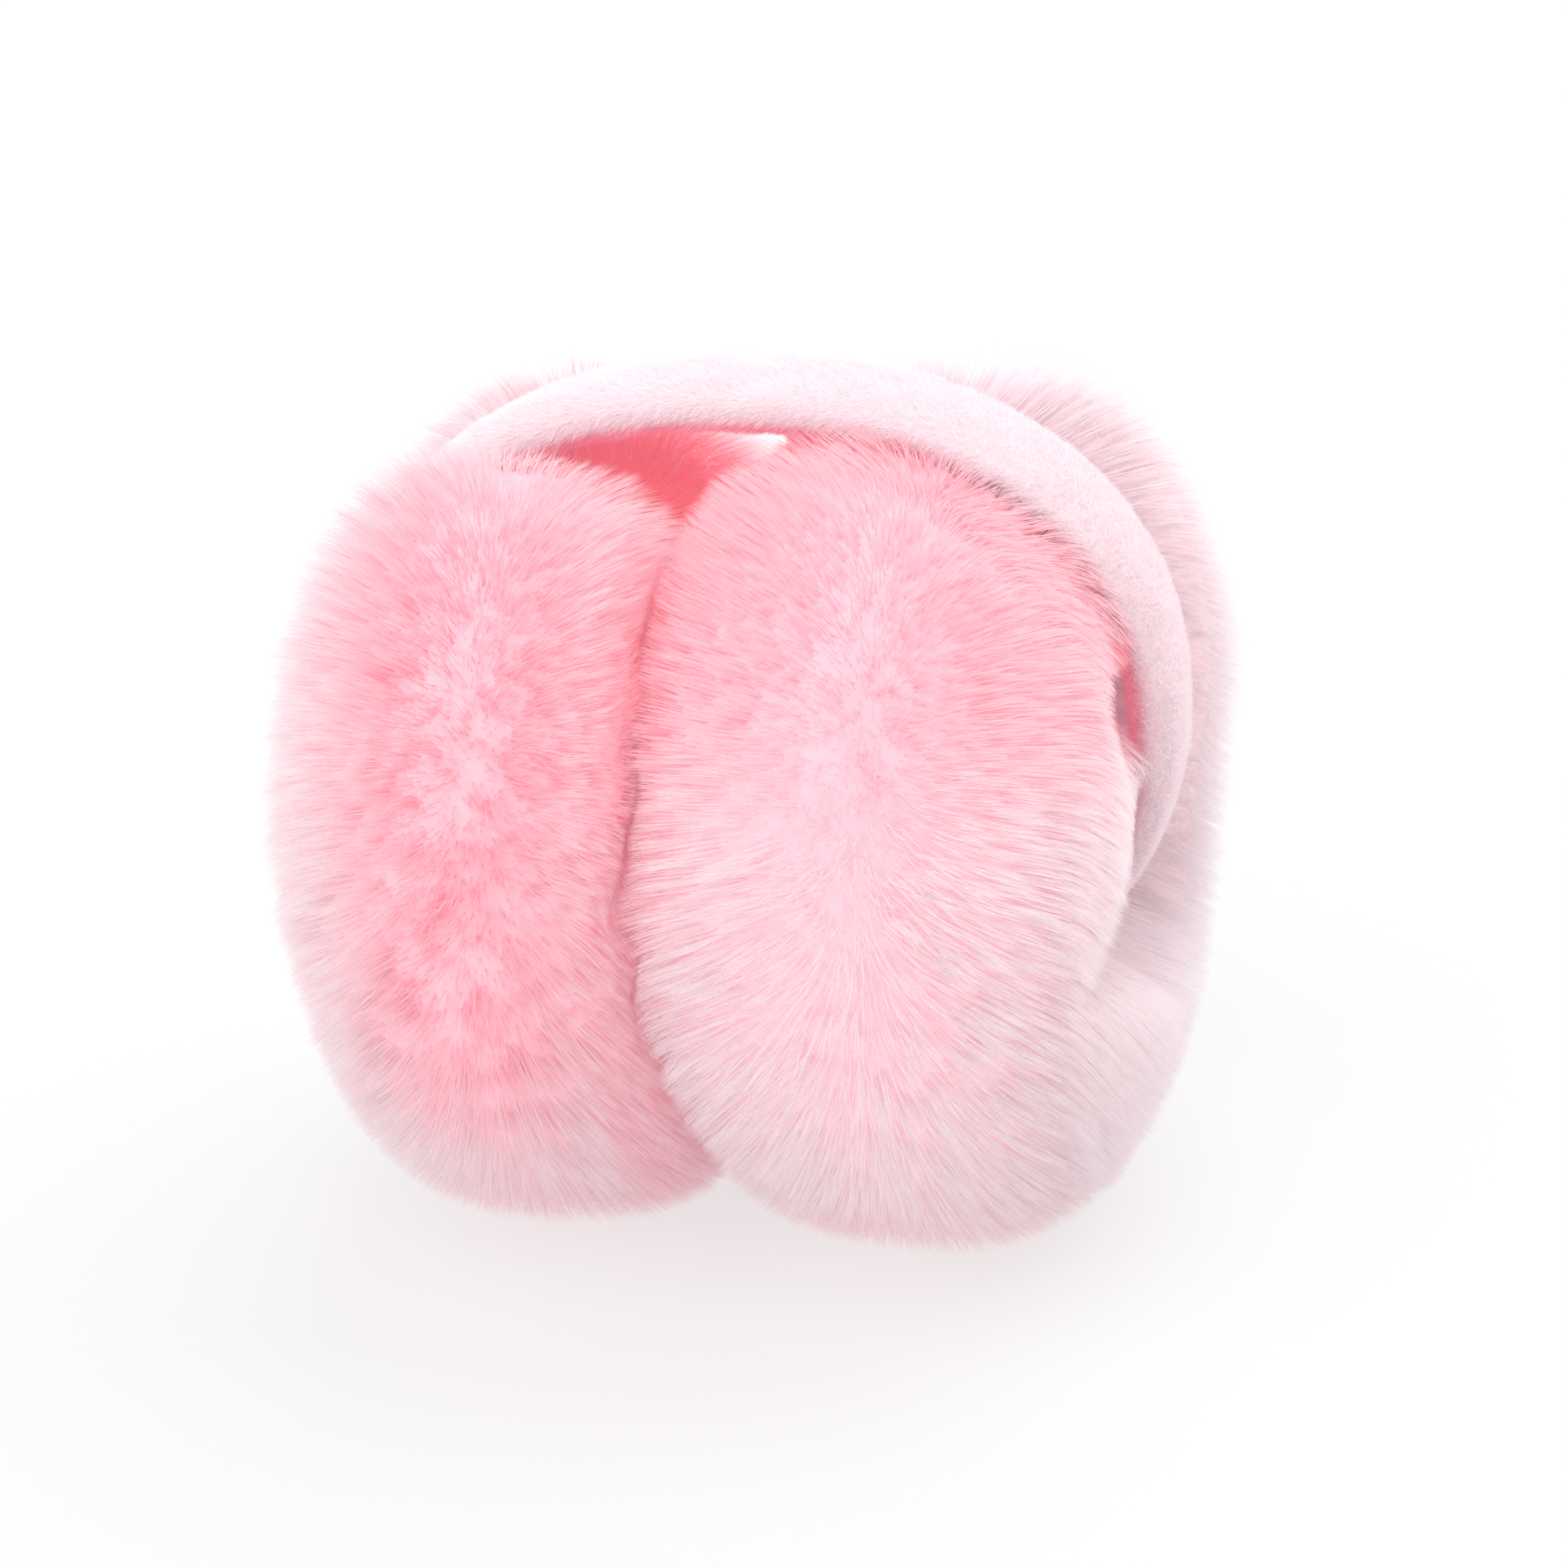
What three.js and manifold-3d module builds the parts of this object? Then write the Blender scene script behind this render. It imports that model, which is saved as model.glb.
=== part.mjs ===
// Fur earmuffs: two thick round pads of deep fur stand side by side on their rims, and a padded plush band
// runs over both of them and down the middle of their outer faces, where its ends go into the fur.
// Millimetres. +Z is up, the front is -Y, and the origin is on the surface that the pads stand on.
import * as THREE from "three";
import { ConvexGeometry } from "three/addons/geometries/ConvexGeometry.js";
import { mergeVertices } from "three/addons/utils/BufferGeometryUtils.js";
import Module from "manifold-3d";

const wasm = await Module();
wasm.setup();

// Clearance between touching pieces
const SEAT_GAP = 0.3;

// Fur pad: a superellipsoid about the X axis, covered in locks
const PAD_RADIUS = 63.5;
const PAD_HALF_THICKNESS = 37.5;
const PAD_ROUNDNESS = 2.65;
const PAD_CENTRE_X = 27;
const PAD_CENTRE_Z = 61.5;
const PAD_TOE_IN = THREE.MathUtils.degToRad(3);
const LOCK_RINGS = 19;
const LOCK_PITCH = 9.6;
const LOCK_HEIGHT = 3;
const LOCK_DROOP = 3.5;
const LOCK_SPREAD = 2.5;

// Padded band: half of its middle line is a superellipse quarter over the top and a circular curl below it
const BAND_HALF_SPAN = 58.2;
const BAND_RISE = 47;
const BAND_SPRING_Z = 74;
const BAND_ROUNDNESS = 2.24;
const BAND_CURL_RADIUS = 38;
const BAND_CURL_ANGLE = THREE.MathUtils.degToRad(56);
const BAND_ARCH_STEPS = 20;
const BAND_CURL_STEPS = 8;
const BAND_WIDTH = 30;
const BAND_THICKNESS = 8.6;
const BAND_SECTION_SIDES = 16;
const BAND_SECTION_ROUNDNESS = 2.5;
const BAND_END_WIDTH = 0.6;
const BAND_END_THICKNESS = 0.75;

// Groove that the band presses into the fur
const GROOVE_CLEARANCE = 0.45;
const GROOVE_EDGE = 1;
const FRONT_SWELL = 1.05;
const FRONT_SWELL_Z = 68;
const FRONT_SWELL_FADE = 17;
const GROOVE_BACK_SLOPE = 2;
const GROOVE_SIDE_DEPTH = 3.3;
const GROOVE_SIDE_Z = 76;
const GROOVE_SIDE_REACH = 15;
const GROOVE_END_Z = 47;
const GROOVE_END_SLOPE = 2.2;

// Open slit between the band and the front of the right-hand pad
const SLIT_DEPTH = 9;
const SLIT_TOP_Z = 92;
const SLIT_TOP_FADE = 4;
const SLIT_BOTTOM_Z = 74;
const SLIT_RISE = 13;
const SLIT_REACH = 15;

// Seam between the pads: towards the front the right-hand pad pushes it over to the left
const SEAM_GAP = 0.34;
const SEAM_SHIFT = -7.3;
const SEAM_FRONT_FADE = 25;
const SEAM_LOW_Z = 10;
const SEAM_FULL_Z = 62;
const SEAM_TOP_Z = [95, 112];
const SEAM_TOP_SHARE = 0.35;
const SEAM_BLOCK = [100, 170, 160];
const SEAM_BLOCK_STEPS = 20;

// What differs between the pads. The bulges are shares of the half thickness; the valley is the one that the
// band opens between the pads at the top.
const LEFT = {
  innerBulge: -0.16,
  outerBulge: 0.04,
  lowerTaper: 0.06,
  backSwell: 0.5,
  frontSlope: 0.9,
  valleyDepth: 20,
  valleyHalfWidth: 42,
  valleyReach: 32,
};
const RIGHT = {
  innerBulge: 0.5,
  outerBulge: 0,
  lowerTaper: 0,
  backSwell: 3.5,
  frontSlope: 0.22,
  valleyDepth: 15,
  valleyHalfWidth: 28,
  valleyReach: 27,
};

// Where the bulges, the taper and the swell act, from the pad's own middle
const INNER_FRONT_FADE = 30;
const INNER_LOW_Z = [-50, -5];
const INNER_TOP_Z = [25, 50];
const INNER_TOP_SHARE = 0.9;
const TAPER_Z = [-5, 35];
const SWELL_Y = [8, 30];
const SWELL_Z = [-5, 22];

const FUR_PINK = new THREE.Color("#f4c3cd");
const BAND_PINK = new THREE.Color("#fde3ea");

function furMaterial() {
  return new THREE.MeshStandardMaterial({ color: FUR_PINK, roughness: 0.9, metalness: 0 });
}

function plushMaterial() {
  return new THREE.MeshStandardMaterial({ color: BAND_PINK, roughness: 0.95, metalness: 0 });
}

// Solid of a geometry that is one closed surface
function solidOf(geometry) {
  geometry.deleteAttribute("normal");
  geometry.deleteAttribute("uv");
  const merged = mergeVertices(geometry, 1e-4);
  return new wasm.Manifold(new wasm.Mesh({
    numProp: 3,
    vertProperties: merged.attributes.position.array,
    triVerts: new Uint32Array(merged.index.array),
  }));
}

function geometryOf(solid) {
  const mesh = solid.getMesh();
  const geometry = new THREE.BufferGeometry();
  geometry.setAttribute("position", new THREE.BufferAttribute(mesh.vertProperties, 3));
  geometry.setIndex(new THREE.BufferAttribute(mesh.triVerts, 1));
  const flat = geometry.toNonIndexed();
  flat.computeVertexNormals();
  return flat;
}

// Signed power, for superellipses
function bulge(value, roundness) {
  return Math.sign(value) * Math.abs(value) ** (2 / roundness);
}

// Distance of the band's middle line from the X = 0 plane at a height below the arch
function curlX(z) {
  const drop = Math.min(BAND_SPRING_Z - z, BAND_CURL_RADIUS * Math.sin(BAND_CURL_ANGLE));
  const arc = Math.sqrt(BAND_CURL_RADIUS ** 2 - drop ** 2);
  return BAND_HALF_SPAN - BAND_CURL_RADIUS + arc;
}

// Points of the band's middle line from the left end over the top to the right end
function bandLine() {
  const half = [];
  for (let i = 0; i <= BAND_ARCH_STEPS; i++) {
    const angle = (i / BAND_ARCH_STEPS) * (Math.PI / 2);
    const x = BAND_HALF_SPAN * bulge(Math.sin(angle), BAND_ROUNDNESS);
    const z = BAND_SPRING_Z + BAND_RISE * bulge(Math.cos(angle), BAND_ROUNDNESS);
    half.push(new THREE.Vector3(x, 0, z));
  }
  for (let i = 1; i <= BAND_CURL_STEPS; i++) {
    const angle = (i / BAND_CURL_STEPS) * BAND_CURL_ANGLE;
    const z = BAND_SPRING_Z - BAND_CURL_RADIUS * Math.sin(angle);
    half.push(new THREE.Vector3(curlX(z), 0, z));
  }
  const left = half.slice(1).reverse().map((p) => new THREE.Vector3(-p.x, 0, p.z));
  return left.concat(half);
}

// Closed sweep of the band's rounded section, made larger all round by a margin
function bandGeometry(margin) {
  const line = bandLine();
  const last = line.length - 1;
  const rings = line.map((point, i) => {
    const before = line[Math.max(i - 1, 0)];
    const after = line[Math.min(i + 1, last)];
    const along = after.clone().sub(before).normalize();
    const outward = new THREE.Vector3(-along.z, 0, along.x);
    const centre = point.clone();
    if (i === 0) centre.addScaledVector(along, -margin);
    if (i === last) centre.addScaledVector(along, margin);
    const curled = THREE.MathUtils.clamp((BAND_SPRING_Z - point.z) / BAND_CURL_RADIUS, 0, 1);
    const width = (BAND_WIDTH / 2) * (1 - (1 - BAND_END_WIDTH) * curled) + margin;
    const thickness = (BAND_THICKNESS / 2) * (1 - (1 - BAND_END_THICKNESS) * curled) + margin;
    return Array.from({ length: BAND_SECTION_SIDES }, (_, j) => {
      const turn = (j / BAND_SECTION_SIDES) * 2 * Math.PI;
      const across = width * bulge(Math.cos(turn), BAND_SECTION_ROUNDNESS);
      const out = thickness * bulge(Math.sin(turn), BAND_SECTION_ROUNDNESS);
      return centre.clone().addScaledVector(outward, out).add(new THREE.Vector3(0, across, 0));
    });
  });
  const triangles = [];
  const quad = (a, b, c, d) => triangles.push(a, b, c, a, c, d);
  for (let i = 0; i < last; i++) {
    for (let j = 0; j < BAND_SECTION_SIDES; j++) {
      const k = (j + 1) % BAND_SECTION_SIDES;
      quad(rings[i][j], rings[i][k], rings[i + 1][k], rings[i + 1][j]);
    }
  }
  for (let j = 1; j < BAND_SECTION_SIDES - 1; j++) {
    triangles.push(rings[0][0], rings[0][j + 1], rings[0][j]);
    triangles.push(rings[last][0], rings[last][j], rings[last][j + 1]);
  }
  return new THREE.BufferGeometry().setFromPoints(triangles);
}

// Directions from the pad's middle to its locks, in staggered rings about the X axis, with their triangles
function lockLattice() {
  const directions = [new THREE.Vector3(1, 0, 0), new THREE.Vector3(-1, 0, 0)];
  for (let i = 1; i < LOCK_RINGS; i++) {
    const polar = (i / LOCK_RINGS) * Math.PI;
    const girth = 2 * Math.PI * PAD_RADIUS * Math.sin(polar);
    const count = Math.max(6, 2 * Math.round(girth / LOCK_PITCH / 2));
    for (let j = 0; j < count; j++) {
      const turn = ((j + (i % 2) / 2) / count) * 2 * Math.PI;
      const rim = PAD_RADIUS * Math.sin(polar);
      const x = PAD_HALF_THICKNESS * Math.cos(polar);
      directions.push(new THREE.Vector3(x, rim * Math.sin(turn), rim * Math.cos(turn)).normalize());
    }
  }
  const hull = new ConvexGeometry(directions);
  hull.deleteAttribute("normal");
  const merged = mergeVertices(hull, 1e-4);
  const at = merged.attributes.position;
  const points = Array.from({ length: at.count }, (_, i) => new THREE.Vector3().fromBufferAttribute(at, i));
  return { points, index: Array.from(merged.index.array) };
}

function fade(value, [low, high]) {
  return THREE.MathUtils.smoothstep(value, low, high);
}

// The pad's own bulges and swell, about its middle
function sideShape(point, side) {
  const front = fade(-point.y, [0, INNER_FRONT_FADE]);
  const middle = fade(point.z, INNER_LOW_Z) * (1 - INNER_TOP_SHARE * fade(point.z, INNER_TOP_Z));
  const outer = side.outerBulge - side.lowerTaper * fade(-point.z, TAPER_Z);
  point.x *= 1 + (point.x < 0 ? side.innerBulge * front * middle : outer);
  const swell = side.backSwell * fade(point.y, SWELL_Y) * fade(point.z, SWELL_Z);
  return point.addScaledVector(new THREE.Vector3(point.x, 0, point.z).normalize(), swell);
}

// Point of the fur's free form in a direction, before the band presses it
function freePoint(direction, proud, side) {
  const rim = Math.hypot(direction.y, direction.z);
  const flat = Math.abs(direction.x) / PAD_HALF_THICKNESS;
  const round = rim / PAD_RADIUS;
  const reach = (flat ** PAD_ROUNDNESS + round ** PAD_ROUNDNESS) ** (-1 / PAD_ROUNDNESS);
  const point = direction.clone().multiplyScalar(reach + proud * LOCK_HEIGHT);
  point.z -= proud * LOCK_DROOP * Math.hypot(direction.x, direction.y);
  point.x += proud * LOCK_SPREAD * direction.x;
  sideShape(point, side);
  point.applyAxisAngle(new THREE.Vector3(0, 0, 1), -PAD_TOE_IN);
  return point.add(new THREE.Vector3(PAD_CENTRE_X, 0, PAD_CENTRE_Z));
}

// Share of the slit's depth at a point
function slitShare(point) {
  if (point.y > 0) return 0;
  const height = THREE.MathUtils.clamp((point.z - SLIT_BOTTOM_Z) / SLIT_RISE, 0, 1);
  const beyond = Math.max(0, -point.y - BAND_WIDTH / 2);
  return fade(SLIT_TOP_Z - point.z, [0, SLIT_TOP_FADE]) * height * Math.exp(-((beyond / SLIT_REACH) ** 2));
}

// How far outside the band's middle line the fur may reach: little under the band, more away from it
function grooveLimit(point, side) {
  const beyond = Math.max(0, Math.abs(point.y) - BAND_WIDTH / 2 - GROOVE_EDGE);
  const above = THREE.MathUtils.smoothstep(point.z, FRONT_SWELL_Z, FRONT_SWELL_Z + FRONT_SWELL_FADE);
  const slope = side.frontSlope * beyond;
  const swell = side === RIGHT ? FRONT_SWELL * Math.sqrt(beyond) : slope;
  const slit = side === RIGHT ? SLIT_DEPTH * slitShare(point) : 0;
  const frontRise = THREE.MathUtils.lerp(swell, slope, above) - slit;
  const lobeRise = point.y < 0 ? frontRise : GROOVE_BACK_SLOPE * beyond;
  const height = (point.z - GROOVE_SIDE_Z) / GROOVE_SIDE_REACH;
  const waist = Math.exp(-(height ** 2) - (beyond / GROOVE_EDGE) ** 2);
  const below = Math.max(0, GROOVE_END_Z - point.z);
  const rise = lobeRise + GROOVE_END_SLOPE * below;
  return rise - BAND_THICKNESS / 2 - GROOVE_CLEARANCE - GROOVE_SIDE_DEPTH * waist;
}

// Presses a point of the fur under the band
function press(point, side) {
  const limit = grooveLimit(point, side);
  const up = point.z - BAND_SPRING_Z;
  if (up > 0) {
    const across = Math.abs(point.x) / BAND_HALF_SPAN;
    const high = up / BAND_RISE;
    const scale = (across ** BAND_ROUNDNESS + high ** BAND_ROUNDNESS) ** (1 / BAND_ROUNDNESS);
    const radius = Math.hypot(point.x, up) / scale;
    const shrink = Math.min(1, (1 + limit / radius) / scale);
    point.x *= shrink;
    point.z = BAND_SPRING_Z + up * shrink;
  } else {
    point.x = Math.min(point.x, curlX(point.z) + limit);
  }
  const valley = Math.max(0, 1 - Math.abs(point.x) / side.valleyHalfWidth);
  const near = Math.exp(-((point.y / side.valleyReach) ** 2));
  if (up > 0) point.z -= side.valleyDepth * valley * near * Math.min(1, up / BAND_RISE);
  point.z = Math.max(point.z, 0);
  return point;
}

// Distance of the seam from the X = 0 plane
function seamX(y, z) {
  const shift = SEAM_SHIFT * fade(-y, [0, SEAM_FRONT_FADE]) * fade(z, [SEAM_LOW_Z, SEAM_FULL_Z]);
  return shift * (1 - SEAM_TOP_SHARE * fade(z, SEAM_TOP_Z));
}

// Everything to the left of the right-hand pad's side of the seam
function seamBlock() {
  const [width, depth, height] = SEAM_BLOCK;
  const block = new THREE.BoxGeometry(width, depth, height, 1, SEAM_BLOCK_STEPS, SEAM_BLOCK_STEPS);
  block.translate(-width / 2, 0, PAD_CENTRE_Z);
  const at = block.attributes.position;
  for (let i = 0; i < at.count; i++) {
    const onSeam = at.getX(i) > -width / 2;
    if (onSeam) at.setX(i, seamX(at.getY(i), at.getZ(i)) + SEAM_GAP / 2);
  }
  return solidOf(block);
}

// A pad as if on the right: each lattice point is the raised tip of a lock, each triangle's middle a hollow
function padGeometry(side) {
  const { points, index } = lockLattice();
  const place = (direction, proud) => press(freePoint(direction, proud, side), side);
  const tips = points.map((direction) => place(direction.clone().normalize(), 1));
  const triangles = [];
  for (let i = 0; i < index.length; i += 3) {
    const corners = [index[i], index[i + 1], index[i + 2]];
    const middle = new THREE.Vector3();
    corners.forEach((c) => middle.add(points[c]));
    const hollow = place(middle.normalize(), 0);
    corners.forEach((c, k) => triangles.push(tips[c], tips[corners[(k + 1) % 3]], hollow));
  }
  return new THREE.BufferGeometry().setFromPoints(triangles);
}

function mirrored(geometry) {
  const copy = geometry.clone();
  const at = copy.attributes.position;
  for (let i = 0; i < at.count; i += 3) {
    const from = geometry.attributes.position;
    const corners = [0, 2, 1].map((k) => new THREE.Vector3().fromBufferAttribute(from, i + k));
    corners.forEach((p, k) => at.setXYZ(i + k, -p.x, p.y, p.z));
  }
  return copy;
}

function named(name, solid, material) {
  const mesh = new THREE.Mesh(geometryOf(solid), material);
  mesh.name = name;
  return mesh;
}

const earmuffs = new THREE.Group();
const band = solidOf(bandGeometry(0));
const bandRoom = solidOf(bandGeometry(SEAT_GAP));
const leftOfSeam = seamBlock();
const padSolids = {
  ear_pad_left: solidOf(mirrored(padGeometry(LEFT))).intersect(leftOfSeam.translate([-SEAM_GAP, 0, 0])),
  ear_pad_right: solidOf(padGeometry(RIGHT)).subtract(leftOfSeam),
};
earmuffs.add(named("headband", band, plushMaterial()));
for (const [name, pad] of Object.entries(padSolids)) {
  earmuffs.add(named(name, pad.subtract(bandRoom), furMaterial()));
}

export default earmuffs;
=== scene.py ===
import math

import bpy
import numpy as np
from mathutils import Matrix, Vector


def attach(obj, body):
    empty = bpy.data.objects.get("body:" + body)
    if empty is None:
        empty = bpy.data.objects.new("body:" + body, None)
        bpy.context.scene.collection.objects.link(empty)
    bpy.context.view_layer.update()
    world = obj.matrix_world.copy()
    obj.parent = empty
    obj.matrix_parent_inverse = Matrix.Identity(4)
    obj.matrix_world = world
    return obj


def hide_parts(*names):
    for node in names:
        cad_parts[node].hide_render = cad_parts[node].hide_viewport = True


# Fur earmuffs. Both pads are worked out in millimetres as right-hand ones, as in the CAD, each with
# its own press, and the left-hand one is then mirrored. Blender objects are in metres.
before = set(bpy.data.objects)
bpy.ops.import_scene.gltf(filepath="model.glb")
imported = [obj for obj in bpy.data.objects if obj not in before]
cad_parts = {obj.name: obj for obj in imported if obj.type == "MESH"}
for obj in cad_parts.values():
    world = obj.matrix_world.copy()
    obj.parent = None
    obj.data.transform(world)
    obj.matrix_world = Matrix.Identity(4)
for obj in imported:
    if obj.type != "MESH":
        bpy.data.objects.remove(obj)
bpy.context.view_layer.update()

MM = 0.001

# Camera, as found from the photograph
CAMERA_AZIMUTH = 11.3
CAMERA_ELEVATION = 20.0
CAMERA_ROLL = -0.6
CAMERA_DISTANCE = 500
CAMERA_TARGET = (3.4, 0.0, 62.3)
CAMERA_LENS = 78.23

# Pad: outer form of the fur tips
PAD_RADIUS = 66.0
PAD_HALF_THICKNESS = 41.0
PAD_ROUNDNESS = 2.63
PAD_CENTRE_X = 27.0
PAD_CENTRE_Z = 61.5
PAD_TOE_IN = math.radians(3)

# Band, as in the CAD
BAND_HALF_SPAN = 58.2
BAND_RISE = 47.0
BAND_SPRING_Z = 74.0
BAND_ROUNDNESS = 2.24
BAND_CURL_RADIUS = 38.0
BAND_CURL_ANGLE = math.radians(56)
BAND_WIDTH = 30.0
BAND_THICKNESS = 8.6
BAND_SECTION_ROUNDNESS = 2.5
BAND_END_WIDTH = 0.6
BAND_END_THICKNESS = 0.75

# Groove and valley that the band presses into the fur, as in the CAD
GROOVE_CLEARANCE = 0.45
GROOVE_EDGE_LEVEL = 0.8
GROOVE_FRONT_SLOPE = {"right": 0.04, "left": 0.9}
GROOVE_LIP = 2.2
GROOVE_LIP_REACH = 4.0
GROOVE_LIP_TOP_Z = (92, 98)
GROOVE_LIP_TOP_SHARE = 0.5
FRONT_SWELL = 1.05
FRONT_SWELL_Z = 66.0
FRONT_SWELL_FADE = 8.0
GROOVE_BACK_SLOPE = 2.0
FRONT_FOOT_SLOPE = 1.0
FRONT_FOOT_TOP = 52.0
FRONT_FOOT_FADE = 8.0
SLIT_DEPTH = 9.0
SLIT_TOP_Z = 92.0
SLIT_TOP_FADE = 4.0
SLIT_BOTTOM_Z = 74.0
SLIT_RISE = 13.0
SLIT_REACH = 15.0
BACK_SWELL = {"right": 3.5, "left": 0.5}
GROOVE_SIDE_DEPTH = 3.3
GROOVE_SIDE_Z = 76.0
GROOVE_SIDE_REACH = 15.0
GROOVE_END_Z = 49.0
GROOVE_END_SLOPE = 2.2
VALLEY_DEPTH = {"right": 7.0, "left": 20.0}
VALLEY_HALF_WIDTH = {"right": 22.0, "left": 42.0}
VALLEY_REACH = {"right": 20.0, "left": 32.0}

# The front of the right-hand pad bulges over the seam into the left-hand one
SEAM_SHIFT = -7.3
SEAM_FRONT_FADE = 25.0
SEAM_RISE_Z = (10, 62)
SEAM_TOP_Z = (95, 112)
SEAM_TOP_SHARE = 0.35
SEAM_RIPPLE = 0.5
SEAM_RIPPLE_SIZE = 12.0
SEAM_SOFTNESS = 1.4

# Bulges and taper of the pads, as shares, with the places about the pad's middle where they set in
INNER_BULGE = {"right": 0.50, "left": -0.16}
INNER_BULGE_REACH = 30.0
INNER_BULGE_Z = (-50, -5)
INNER_BULGE_TOP_Z = (25, 50)
INNER_BULGE_TOP_SHARE = 0.5
OUTER_BULGE = {"right": 0.0, "left": 0.04}
LOWER_TAPER = {"right": 0.0, "left": 0.06}
LOWER_TAPER_Z = (5, -35)
BACK_SWELL_Y = (8, 30)
BACK_SWELL_Z = (-5, 22)

# Hairs of the pads: number, size and direction
HAIRS_A_PIECE = 63000
PIECES_A_PAD = 2
HAIR_DEPTH = 15.0
HAIR_WIDTH = 0.2
HAIR_SHORTEST = 2.2
HAIR_ARCH = 1.6
ROOT_INSET = 8.0
BEND_INSET = 2.2
INNER_FACE_SHARE = 0.35
PARTING_X = {"right": 0.5, "left": 6.0}
HAIR_SPLAY = 7.5
HAIR_FLOW = 5.0
WHORL_TURN = math.radians(-77)
HAIR_DROOP = 1.2
HAIR_COMB = 2.2
SIDE_DROOP = 4.0
WISP_SIZE = 2.8
WISP_PULL = 0.8
LOCK_SIZE = 5.5
LOCK_PULL = 1.0
TUFT_SIZE = 15.0
TUFT_PULL = 0.8
SHAGGY = {"right": 1.2, "left": 2.2}
FACING_SPREAD = 0.35

# Shades of the pads' hairs: how much less pale, and how much deeper. Most of the deeper colour is painted
# shade: at the whorl, under the band, in the slit, in the seam's crevice and near the floor
WHORL_WIDTH = 12.0
PAINTED_WHORL_SHADE = {"right": 0.1, "left": 0.8}
PAINTED_WHORL_DEPTH = {"right": 0.0, "left": 0.5}
TOP_SHADE = {"right": 0.7, "left": 0.4}
TOP_DEPTH = {"right": 0.34, "left": 0.03}
STREAK_SIZE = 3.5
STREAKS = {"right": 0.04, "left": 0.14}
STRAY_TINT = {"right": 0.1, "left": 0.2}
PAINTED_UNDER_BAND_SHADE_X = {"right": 34.0, "left": 46.0}
PAINTED_FLOOR_SHADE = 0.3
PAINTED_FLOOR_SHADE_Z = 16.0
PAINTED_SEAM_SHADE = 0.3
PAINTED_SEAM_SHADE_REACH = 2.2

# Dense inner part of the fur
CORE_DEPTH = 6.0
CORE_INSET = 3.8

# Painted shade on the lowest fur, painted glow within the fur and the backing, and the backing's paler back as
# painted light
PAINTED_LOW_SHADE_TOP_Z = 95.0
PAINTED_LOW_SHADE_SHARE = 0.23
PAINTED_LOW_SHADE_COLOUR = (0.57, 0.61, 0.63)
PAINTED_HAIR_GLOW = 0.08
PAINTED_BACKING_GLOW = (0.95, 0.36, 0.44)
PAINTED_PALE_BACK_Y = (-10, 15)

# Pile of the band
PILE_HAIRS = 150000
PILE_LENGTH = 2.1
PILE_HEIGHT = 0.9
PILE_WIDTH = 0.2

# Floor and light. A sun is its azimuth, elevation, spread angle and strength
FLOOR_HALF_SIZE = 6000
FLOOR_GREY = 0.26
FLOOR_GLOW = 0.66
KEY_SUN = (-25, 50, 60, 1.15)
BACK_SUN = (150, 50, 70, 1.7)
WORLD_LIGHT = 0.70


def bulge(value, roundness):
    """Signed power, for superellipses."""
    return np.sign(value) * np.abs(value) ** (2 / roundness)


def smoothstep(value, low, high):
    share = np.clip((value - low) / (high - low), 0, 1)
    return share * share * (3 - 2 * share)


def unit(vectors):
    length = np.linalg.norm(vectors, axis=-1, keepdims=True)
    return vectors / np.maximum(length, 1e-9)


# The band's middle line

def curl_x(z):
    """Distance of the band's middle line from the X = 0 plane below the arch."""
    drop = np.clip(BAND_SPRING_Z - z, 0, BAND_CURL_RADIUS * math.sin(BAND_CURL_ANGLE))
    return BAND_HALF_SPAN - BAND_CURL_RADIUS + np.sqrt(BAND_CURL_RADIUS**2 - drop**2)


def band_line(arch_steps, curl_steps):
    """Points (x, z) of the band's middle line from the left end to the right end."""
    turn = np.linspace(0, math.pi / 2, arch_steps + 1)
    arch = np.stack([
        BAND_HALF_SPAN * bulge(np.sin(turn), BAND_ROUNDNESS),
        BAND_SPRING_Z + BAND_RISE * bulge(np.cos(turn), BAND_ROUNDNESS),
    ], -1)
    z = BAND_SPRING_Z - BAND_CURL_RADIUS * np.sin(np.linspace(0, BAND_CURL_ANGLE, curl_steps + 1)[1:])
    half = np.vstack([arch, np.stack([curl_x(z), z], -1)])
    return np.vstack([half[:0:-1] * (-1, 1), half])


# How the band presses the fur

def slit_share(y, z):
    """Depth share of the open slit between the band and the front of the right-hand pad."""
    share = smoothstep(SLIT_TOP_Z - z, 0, SLIT_TOP_FADE) * np.clip((z - SLIT_BOTTOM_Z) / SLIT_RISE, 0, 1)
    beyond = np.maximum(0, -y - BAND_WIDTH / 2)
    return share * np.exp(-((beyond / SLIT_REACH) ** 2)) * (y < 0)


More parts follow.
